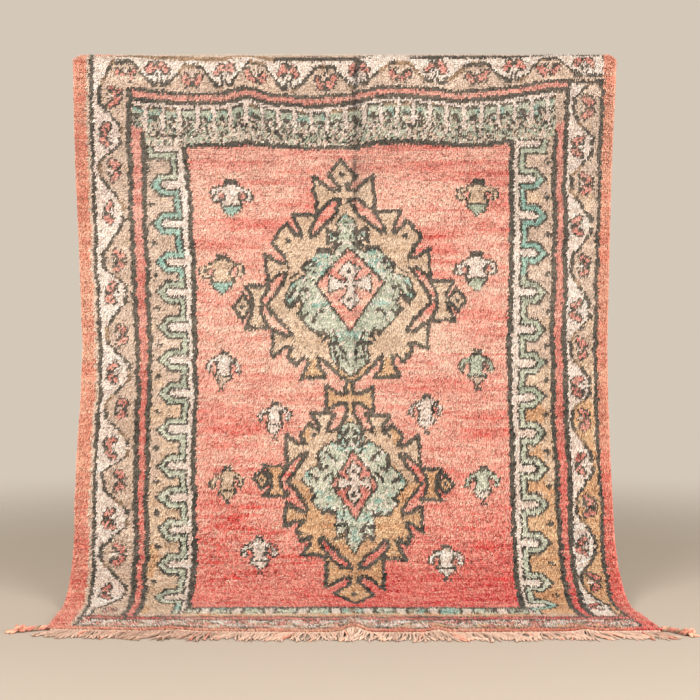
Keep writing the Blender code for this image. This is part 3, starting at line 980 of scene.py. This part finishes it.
def pile_panel(number, first_row, last_row, wool):
    """One width of knotted pile: each knot's two yarn ends, as tufts that hang down the rug."""
    rng = np.random.default_rng(100 + number)
    rows, columns = last_row - first_row, 2 * ACROSS
    side = np.linspace(-1, 1, columns + 1)
    along = FLAP_END + ROW_PITCH * np.arange(first_row, last_row + 1)
    grid_side, grid_along = np.meshgrid(side, along)
    wander = np.random.default_rng(99).uniform(-1, 1, (2, ROWS + 1, columns + 1))
    wander = wander[:, first_row:last_row + 1] * (np.abs(grid_side) < 0.999)
    roots = place(
        grid_side + ROOT_STRAY / HALF_WIDTH * wander[0],
        grid_along + ROOT_SLIP * wander[1],
        PILE_ROOT + ROOT_STRAY * wander[0],
    ).reshape(-1, 3)

    middle_side = ((side[1:] + side[:-1]) / 2)[None, :] + np.zeros((rows, 1))
    middle_along = ((along[1:] + along[:-1]) / 2)[:, None] + np.zeros((1, columns))
    u = (middle_side + 1) / 2 * ACROSS
    v = knots_down(middle_along)
    shaggy = 1 + 0.5 * smooth(150, 290, v)
    parted = shaggy * rng.normal(0, 1, u.shape)
    tip_side = middle_side + (
        PILE_STRAY * parted
        + WIDE_CLUMPS * drift(u / 9, v / 9, 4)
        + SMALL_CLUMPS * drift(u / 2.5, v / 2.5, 1)
        - BRUSHED
    ) / HALF_WIDTH
    tip_side = np.clip(tip_side, -1.001, 1.001)
    lean = PILE_LEAN * (1 + 0.35 * drift(u / 4, v / 4, 2))
    lean = lean + LEAN_STRAY * shaggy * rng.normal(0, 1, u.shape)
    tip_along = middle_along + lean + BRICK * np.where(np.arange(columns) % 2, 1, -1)
    lift = PILE_TIP + TIP_CLUMPS * drift(u / 3, v / 3, 5) + TIP_STRAY * rng.normal(0, 1, u.shape)
    tips = place(tip_side, tip_along, np.minimum(lift, PILE_TIP + TIP_LIMIT)).reshape(-1, 3)

    row, column, corner = grid_cells(rows, columns)
    tip = len(roots) + np.arange(rows * columns)
    slopes = ((1, 0), (2, 1), (0, 3), (3, 2))
    faces = np.stack([np.stack([corner[:, a], corner[:, b], tip], axis=1) for a, b in slopes], axis=1)
    until = UNDERSIDES_HIDDEN[1] + 0.05 * rng.normal(0, 1, u.shape)
    hangs = within(middle_along, UNDERSIDES_HIDDEN[0], until)
    shown = np.ones((rows * columns, 4), bool)
    shown[:, 3] = ~hangs.ravel()
    obj = mesh_object(f"pile_{number}", np.concatenate([roots, tips]), faces[shown], False)

    seen_u = (u + FRAY * rng.normal(0, 1, u.shape)).ravel()
    seen_v = (v + FRAY * rng.normal(0, 1, u.shape)).ravel()
    colour = dyed(design(seen_u, seen_v), u.ravel(), v.ravel(), rng)
    # Painted shade along the crease: a dark line on it and a wider shade to its right, fading down the
    # rug
    from_crease = across_at(middle_side, middle_along) - CREASE_ACROSS
    from_crease = from_crease + 0.003 * drift(v / 9, u * 0, 3)
    crease = np.exp(-(from_crease / CREASE_LINE) ** 2 / 2)
    crease = crease * (1 - 0.8 * smooth(0.75, 1.25, middle_along))
    beside = np.exp(-((from_crease - CREASE_SIDE[0]) / CREASE_SIDE[1]) ** 2 / 2)
    beside = beside * (1 - smooth(0.25, 0.60, middle_along))
    crease = np.minimum(crease + 0.50 * beside, 1) * smooth(-0.02, 0.06, middle_along)
    crease = crease * (0.75 + 0.5 * drift(v / 5, u * 0, 2))
    uneven = 1 + 0.10 * (shaggy - 1) * 2 * rng.normal(0, 1, u.shape)
    colour = colour * ((1 - CREASE_PAINTED_SHADE * crease) * uneven).reshape(-1, 1)
    # Painted shade at each tuft's roots, deeper in colour, and painted light at its tip
    shades = np.array([(ROOT_PAINTED_SHADES[a], ROOT_PAINTED_SHADES[b], TIP_PAINTED_LIGHT) for a, b in slopes])
    each = rng.normal(1, 0.10, (len(colour), len(slopes)))[:, :, None, None]
    deep = np.clip(colour, 0, 1) ** 1.2
    tones = np.stack([deep, deep, colour], axis=1)[:, None]
    colours = np.clip(tones * shades[None, :, :, None] * each, 0, 1)

    flat = np.array([(CELL[a], CELL[b], (0.5, 0.5)) for a, b in slopes])
    spot = np.stack([column, row], axis=1)[:, None, None, :]
    places = (spot + flat[None]) / (columns, rows)
    return fit_piece(obj, colours[shown], places[shown], wool)


def pile(wool):
    """The knotted face, in as many panels as keep each one light."""
    edges = [ROWS * number // PANELS for number in range(PANELS + 1)]
    return [
        pile_panel(number + 1, edges[number], edges[number + 1], wool) for number in range(PANELS)
    ]


def back(wool):
    """The knotted back: the design in small flat knots, seen from behind."""
    side = np.linspace(-1, 1, ACROSS + 1)
    along = np.linspace(FLAP_END, CLOTH_END, ROWS + 1)
    grid_side, grid_along = np.meshgrid(side, along)
    points = place(grid_side, grid_along, BACK_LIFT).reshape(-1, 3)
    row, column, faces = grid_cells(ROWS, ACROSS)
    obj = mesh_object("knotted_back", points, faces)
    u, v = column + 0.5, knots_down(along[row] + ROW_PITCH / 2)
    colour = dyed(design(u, v), u, v, np.random.default_rng(7)) * BACK_SHADE
    # Painted shade and light across each flat knot
    colours = colour[:, None, :] * np.array(BACK_PAINTED_SHADES)[None, :, None]
    places = (np.stack([column, row], axis=1)[:, None, :] + CELL[None]) / (ACROSS, ROWS)
    return fit_piece(obj, colours, places, wool)


PLY_WAIST = 0.66            # how narrow a two-ply yarn is between its plies, as a share


def unit(vectors):
    """The same directions, one long."""
    return vectors / np.linalg.norm(vectors, axis=-1, keepdims=True)


def sleeve(name, points, shades, wool, lengthwise=False):
    """Closed strips through rings of points, as one mesh; points is (strips, rings, points, 3).

    The flat layout puts the strips side by side, or lays a single one lengthwise.
    """
    count, steps, sides = points.shape[:3]
    yarn, step, turn = np.meshgrid(
        np.arange(count), np.arange(steps - 1), np.arange(sides), indexing="ij"
    )
    base, after = (yarn * steps + step) * sides, (turn + 1) % sides
    faces = np.stack([base + turn, base + after, base + sides + after, base + sides + turn], axis=-1)
    faces = faces.reshape(-1, 4)
    obj = mesh_object(name, points.reshape(-1, 3), faces)
    across = (yarn[..., None] + np.stack([turn, turn + 1, turn + 1, turn], axis=-1) / sides) / count
    down = np.stack([step, step, step + 1, step + 1], axis=-1) / (steps - 1)
    places = np.stack([down, across] if lengthwise else [across, down], axis=-1)
    return fit_piece(obj, shades.reshape(-1, 3)[faces.ravel()], places, wool)


def tubes(name, lines, radii, sides, twist, colours, wool):
    """Round or twisted yarns along lines of equally many points, as one mesh.

    lines is (yarns, points, 3), radii (yarns, points), and twist the turns for each metre of a
    two-ply yarn, or 0 for a round one.
    """
    count, steps = radii.shape
    ahead = unit(np.gradient(lines, axis=1))
    up = np.array([0.0, 0.0, 1.0]) + np.zeros_like(ahead)
    level = np.abs(ahead[..., 2:3]) > 0.95
    up = np.where(level, np.array([0.0, 1.0, 0.0]), up)
    beside = unit(np.cross(ahead, up))
    over = np.cross(beside, ahead)
    angle = TWO_PI * np.arange(sides) / sides
    gaps = np.linalg.norm(np.diff(lines, axis=1), axis=2)
    length = np.concatenate([np.zeros((count, 1)), np.cumsum(gaps, axis=1)], axis=1)
    turned = angle[None, None, :] + TWO_PI * twist * length[:, :, None]
    groove = np.abs(np.cos(turned)) if twist else np.ones_like(turned)
    reach = radii[:, :, None] * (PLY_WAIST + (1 - PLY_WAIST) * groove)
    ring = (
        np.cos(angle)[None, None, :, None] * beside[:, :, None, :]
        + np.sin(angle)[None, None, :, None] * over[:, :, None, :]
    )
    points = lines[:, :, None, :] + reach[..., None] * ring
    tint = colours.reshape(count, -1, 3)
    tint = np.broadcast_to(tint, (count, steps, 3)) if tint.shape[1] == 1 else tint
    # Painted shade: darker where the plies meet, in the grooves between them
    shades = tint[:, :, None, :] * (0.55 + 0.5 * groove[..., None])
    return sleeve(name, points, shades, wool)


SELVEDGE_RADIUS = 0.0044
SELVEDGE_INSET = 0.0042
WRAP_PITCH = 0.0075


def selvedges(wool):
    """Both side edges, wrapped round with salmon wool."""
    pieces = []
    steps = 720
    along = np.linspace(FLAP_END + 0.002, CLOTH_END - 0.001, steps)
    rng = np.random.default_rng(21)
    for name, side in (("selvedge_left", -1.0), ("selvedge_right", 1.0)):
        line = place(side, along, SELVEDGE_RADIUS)
        line[:, 0] -= side * SELVEDGE_INSET
        wrap = np.sin(TWO_PI * along / WRAP_PITCH)
        radius = SELVEDGE_RADIUS + 0.0004 * wrap + 0.0003 * drift(along / 0.03, along * 0 + side, 1)
        across = 3.0 if side < 0 else ACROSS - 3.0
        # Painted shade: the edge is darkened as a whole, and more between its wraps
        shade = (0.66 + 0.12 * wrap)[:, None] * dyed(SALMON, across, along / KNOT, rng)
        pieces.append(tubes(name, line[None], radius[None], 10, 0, shade[None], wool))
    return pieces


SWEEP = np.array((
    # side, angle
    (-1.00, -0.75),
    (-0.85, -0.50),
    (-0.50, -0.42),
    (0.00, -0.15),
    (0.30, 0.10),
    (0.60, 0.25),
    (0.85, 0.42),
    (1.00, 0.52),
)).T
STRANDS = 450
STRAND_STEPS = 16
STRAND_SIDE = 0.985         # how far out the warp ends reach, of the rug's half width
STRAND_LENGTH = 0.092
STRAND_RADIUS = 0.0028
STRAND_TWIST = 62           # turns for each metre
STRAND_ROOT = (0.006, 0.0030)       # how far into the hem, and its height there
HEM_SHAPE = (
    # depth, lift
    (0.0, 0.0006),
    (0.0, 0.0055),
    (0.005, 0.0062),
    (0.0095, 0.0048),
    (0.0100, 0.0008),
)
HEM_GAP = 0.0003
RIB_PITCH = 0.0085
RIB_HEIGHT = 0.0006


def strand_lines(rng):
    """The warp ends: out of the hem, down to the floor, and curling along it."""
    number = np.arange(STRANDS)
    side = STRAND_SIDE * (2 * (number + 0.5) / STRANDS - 1) + rng.normal(0, 0.0012, STRANDS)
    roots = place(side, CLOTH_END + STRAND_ROOT[0], STRAND_ROOT[1])
    angle = np.interp(side, *SWEEP) + 0.22 * drift(side * 7, side * 0, 3)
    angle = angle + rng.normal(0, 0.16, STRANDS) + 0.42 * drift(side * 40, side * 0, 4)
    curl = rng.normal(0, 0.60, STRANDS)
    length = STRAND_LENGTH * (1 + 0.16 * drift(side * 30, side * 0 + 4, 2))
    length = length * rng.uniform(0.82, 1.06, STRANDS)
    over = rng.uniform(0, 1, STRANDS)
    share = np.linspace(0, 1, STRAND_STEPS)[None, :]
    bend = angle[:, None] * (0.6 + 0.5 * share) + curl[:, None] * (share ** 2 - 0.25)
    step = length[:, None] / (STRAND_STEPS - 1)
    x = roots[:, :1] + np.cumsum(step * np.sin(bend), axis=1) - step * np.sin(bend[:, :1])
    y = roots[:, 1:2] - np.cumsum(step * np.cos(bend), axis=1) + step * np.cos(bend[:, :1])
    radius = STRAND_RADIUS * rng.uniform(0.80, 1.20, STRANDS)[:, None] * np.ones_like(share)
    knotted = np.exp(-((share - 0.84) / 0.05) ** 2) * (rng.uniform(0, 1, STRANDS) < 0.6)[:, None]
    radius = radius * (1 + 0.55 * knotted) * np.interp(share, (0, 0.9, 1.0), (1.0, 0.95, 0.45))
    rest = FLOOR + radius * 0.92 + 0.0035 * over[:, None] * np.sin(math.pi * share) ** 2
    drop = 1 - smooth(0.0, 0.42, share)
    z = rest + (np.maximum(roots[:, 2:3], rest) - rest) * drop
    return np.stack([x, y, z], axis=-1), radius, side


def fringe(wool):
    """Hem and warp ends."""
    rng = np.random.default_rng(31)
    lines, radius, side = strand_lines(rng)
    yarn = np.where(rng.uniform(0, 1, STRANDS) < 0.06, SALMON, UNDYED)
    colours = dyed(yarn, side * 100, 90.0, rng)
    strands = tubes(
        "warp_ends", lines, radius, 6, STRAND_TWIST, colours[:, None, :], wool
    )

    hem_side = np.linspace(-0.99, 0.99, 360)
    rib = np.sin(TWO_PI * hem_side * HALF_WIDTH / RIB_PITCH)
    ring = [
        place(hem_side, CLOTH_END + HEM_GAP + depth, lift + RIB_HEIGHT * rib)
        for depth, lift in HEM_SHAPE
    ]
    tint = dyed(UNDYED, hem_side * 90, 100.0, rng)
    # Painted shade in the hollows between the ribs
    shades = np.repeat(tint * (0.8 + 0.2 * rib)[:, None], len(ring), axis=0)
    hem = sleeve("hem", np.stack(ring, axis=1)[None], shades, wool, lengthwise=True)
    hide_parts("fringe")
    return hem, strands


CORNER_CORDS = (
    # name, side, turn, length, loose
    ("corner_cord_left", -1, 0.46, 0.078, 0.032),
    ("corner_cord_right", 1, 0.92, 0.084, 0.022),
)
CORD_PLY_RADIUS = 0.0048
CORD_FULLNESS = 0.55
CORD_BENDS = (0.10, 0.35)
CORD_SWAY = 0.25
CORD_TWIST_PITCH = 0.040
CORD_TWIST = 90             # turns of each ply's own yarn, for each metre
CORD_OFFSET = 0.0037        # from the cord's middle line to its plies'
CORD_YARN_RADIUS = 0.0038
KNOT_SIZE = 0.0050
KNOT_YARN_RADIUS = 0.0048
LOOSE_ENDS = 9
LOOSE_RADIUS = 0.0030
LOOSE_START = 0.006         # from the knot's middle
LOOSE_SPREAD = 0.55


def cord_line(side, turn, length, half_height, steps):
    """The middle line of a corner cord: straight out of the rug's side, then to the front."""
    last = CLOTH_END - 2 * half_height
    reach = max(abs(place(side, along, 0.0)[0]) for along in (last, CLOTH_END))
    start = place(side, CLOTH_END - half_height, 0.0)
    share = np.arange(steps) / (steps - 1)
    angle = (turn + CORD_SWAY * np.sin(TWO_PI * share)) * smooth(*CORD_BENDS, share)
    step = length / (steps - 1)
    x = side * reach + side * np.concatenate([[0], np.cumsum(step * np.cos(angle[:-1]))])
    y = start[1] - np.concatenate([[0], np.cumsum(step * np.sin(angle[:-1]))])
    return np.stack([x, y, np.full(steps, FLOOR + half_height)], axis=1), angle[-1]


def corner_cord(name, side, turn, length, loose, wool):
    """A cord of three plies, knotted, with loose ends past the knot."""
    rng = np.random.default_rng(50 + side)
    steps = 70
    half_height = CORD_PLY_RADIUS * (1 + CORD_FULLNESS)
    line, heading = cord_line(side, turn, length, half_height, steps)
    beside = np.cross(unit(np.gradient(line, axis=0)), (0, 0, 1))
    over = np.array((0.0, 0.0, 1.0))
    run = np.linspace(0, length, steps)
    plies, tints = [], []
    for ply, yarn in enumerate((SALMON, RED, BROWN)):
        angle = TWO_PI * (run / CORD_TWIST_PITCH + ply / 3)
        away = np.cos(angle)[:, None] * beside + np.sin(angle)[:, None] * over
        plies.append(line + CORD_OFFSET * away)
        tints.append(dyed(yarn, 8.0, run * 900, rng))
    radius = CORD_YARN_RADIUS * (1 + 0.08 * rng.normal(0, 1, (3, steps)))
    cord = tubes(name, np.stack(plies), radius, 8, CORD_TWIST, np.stack(tints), wool)

    t = np.linspace(0, TWO_PI, steps)
    loop = np.stack(
        [np.sin(t) + 2 * np.sin(2 * t), np.cos(t) - 2 * np.cos(2 * t), -1.1 * np.sin(3 * t)], axis=1
    )
    way = math.atan2(-math.sin(heading), side * math.cos(heading))
    turned = loop @ np.array(
        [[math.cos(way), math.sin(way), 0], [-math.sin(way), math.cos(way), 0], [0, 0, 1]]
    )
    knot_line = line[-1] + KNOT_SIZE * turned * (1.0, 1.0, 0.95) + (0, 0, 0.0028)
    knot_tint = dyed(SALMON, 8.0, t * 10, rng)
    knot = tubes(
        name + "_knot", knot_line[None], np.full((1, steps), KNOT_YARN_RADIUS), 8, CORD_TWIST,
        knot_tint[None], wool,
    )
    ends, end_steps = LOOSE_ENDS, 14
    share = np.linspace(0, 1, end_steps)
    fan = way + np.linspace(-LOOSE_SPREAD, LOOSE_SPREAD, ends)[:, None]
    fan = fan + 0.5 * rng.normal(0, 1, (ends, 1)) * share ** 2
    reach = loose * rng.uniform(0.75, 1.15, (ends, 1)) / (end_steps - 1)
    x = line[-1, 0] + LOOSE_START * np.cos(fan[:, :1]) + np.cumsum(reach * np.cos(fan), axis=1)
    y = line[-1, 1] + LOOSE_START * np.sin(fan[:, :1]) + np.cumsum(reach * np.sin(fan), axis=1)
    radius = LOOSE_RADIUS * np.interp(share, (0, 0.8, 1), (1, 1, 0.5)) + np.zeros((ends, 1))
    z = FLOOR + radius + (half_height - 0.003) * (1 - smooth(0, 0.6, share))
    tints = dyed(np.where(np.arange(ends) % 2, BROWN, SALMON), np.arange(ends) * 9.0, share[:ends], rng)
    loose_ends = tubes(
        name + "_ends", np.stack([x, y, z], axis=-1), radius, 6, 0, tints[:, None, :], wool,
    )
    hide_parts(name)
    return [cord, knot, loose_ends]


LAMPS = (
    # name, place, aimed at, size, power
    ("key", (-2.2, -3.6, 1.6), (0, 0, -0.9), 2.4, 228),
    ("fill", (2.8, -3.4, 0.4), (0, 0, -0.9), 3.0, 238),
)
LAMP_COLOUR = (1.0, 0.95, 0.9)
WALL_COLOUR = (212, 200, 185)
FLOOR_COLOUR = (171, 162, 151)
FLOOR_RADIUS = 9
FLOOR_FADES = (1.2, 4.5)    # distances between which the floor melts into the background
CAMERA_PLACE = (0.016, -4.02, FLOOR + 0.793)
CAMERA_LENS = 64.3


def stand(name, data, spot, turn):
    """Stands a lamp or the camera at its spot, turned its way."""
    obj = bpy.data.objects.new(name, data)
    obj.location = spot
    obj.rotation_euler = turn
    bpy.context.scene.collection.objects.link(obj)
    return obj


def studio():
    """Pale floor that melts into the background, soft light and the camera."""
    scene = bpy.context.scene
    scene.view_settings.view_transform = "Standard"
    world = bpy.data.worlds.new("studio")
    scene.world = world
    world.use_nodes = True
    shade = world.node_tree.nodes["Background"]
    shade.inputs["Color"].default_value = (*linear(WALL_COLOUR), 1)
    shade.inputs["Strength"].default_value = 1.0

    bpy.ops.mesh.primitive_circle_add(
        vertices=96, radius=FLOOR_RADIUS, fill_type="NGON", location=(0, 0, FLOOR - 0.0005)
    )
    floor = bpy.context.object
    floor.name = "floor"
    finish = Finish("pale_floor")
    finish.feed(finish.shader, {"Base Color": (*linear(FLOOR_COLOUR), 1), "Roughness": 0.8})
    space = finish.node("ShaderNodeTexCoord").outputs["Object"]
    distance = finish.node("ShaderNodeVectorMath", {"operation": "LENGTH"}, {0: space}).outputs["Value"]
    fade = finish.node(
        "ShaderNodeMapRange",
        {"interpolation_type": "SMOOTHSTEP"},
        {"Value": distance, "From Min": FLOOR_FADES[0], "From Max": FLOOR_FADES[1]},
    )
    clear = finish.node("ShaderNodeBsdfTransparent")
    mix = finish.node(
        "ShaderNodeMixShader",
        None,
        {0: fade.outputs["Result"], 1: finish.shader.outputs["BSDF"], 2: clear.outputs["BSDF"]},
    )
    finish.feed(finish.tree.nodes["Material Output"], {"Surface": mix.outputs["Shader"]})
    floor.data.materials.append(finish.material)

    for name, spot, aim, size, power in LAMPS:
        lamp = bpy.data.lights.new(name, "AREA")
        lamp.size = size
        lamp.energy = power
        lamp.color = LAMP_COLOUR
        way = np.array(spot) - np.array(aim)
        yaw = math.atan2(way[0], -way[1])
        stand(name, lamp, spot, (math.acos(way[2] / np.linalg.norm(way)), 0, yaw))

    camera = bpy.data.cameras.new("camera")
    camera.sensor_width = 36
    camera.lens = CAMERA_LENS
    scene.camera = stand("camera", camera, CAMERA_PLACE, (math.pi / 2, 0, 0))


def main():
    """The studio, then every piece of the rug."""
    studio()
    pile_wool = wool_finish("pile_wool")
    back_wool = wool_finish("back_wool", fibre=500.0, depth=0.0006, shade=0.4, sheen=0.0)
    cord_wool = wool_finish("cord_wool", fibre=1200.0, depth=0.0006, shade=0.4, sheen=0.1)
    panels = pile(pile_wool)
    cloth = back(back_wool)
    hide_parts("rug")
    edges = selvedges(cord_wool)
    hem, strands = fringe(cord_wool)
    cords = []
    for row in CORNER_CORDS:
        cords += corner_cord(*row, cord_wool)
    CLOTH_END - FLAP_END


main()
